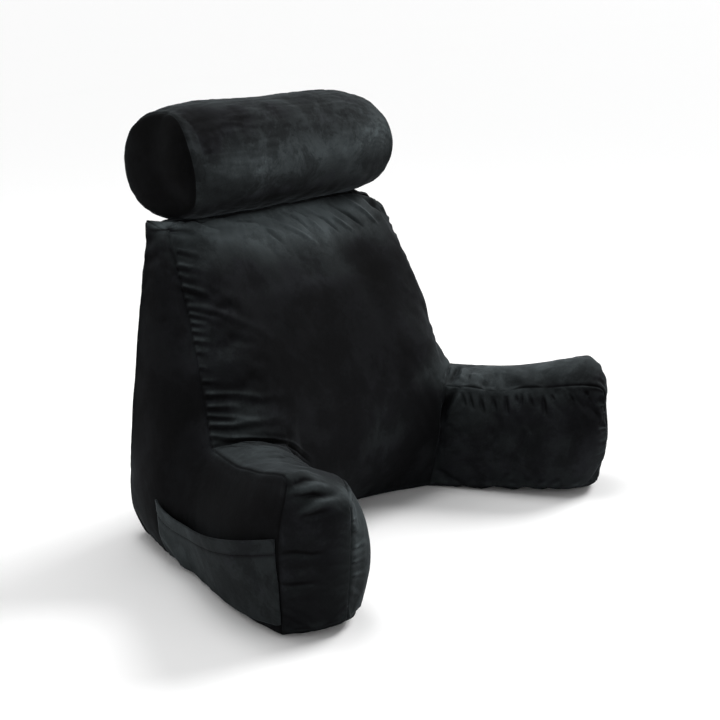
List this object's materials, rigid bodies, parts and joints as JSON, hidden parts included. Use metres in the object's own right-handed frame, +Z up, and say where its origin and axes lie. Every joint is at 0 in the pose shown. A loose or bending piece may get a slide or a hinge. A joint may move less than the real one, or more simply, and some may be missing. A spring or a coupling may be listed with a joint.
{
  "type": "reading pillow with arms",
  "caption": "Velvet backrest pillow with a wedge-shaped back, splayed arms, a side pocket and a loose round neck roll on top.",
  "frame": {"origin": "on the floor, under the middle of the pillow's bounding box", "axes": "+X from the left arm to the right arm as seen from the front, +Y to the back, +Z up"},
  "size_m": [0.8038, 0.5068, 0.6497],
  "materials": {
    "body_velvet": "short-pile black velvet",
    "roll_velvet": "short-pile black velvet, crushed in patches",
    "pocket_velvet": "short-pile black velvet with its nap brushed up, so it looks greyer"
  },
  "bodies": {
    "root": {"body": "body_velvet", "neck_roll": "roll_velvet", "pocket": "pocket_velvet"}
  },
  "joints": []
}
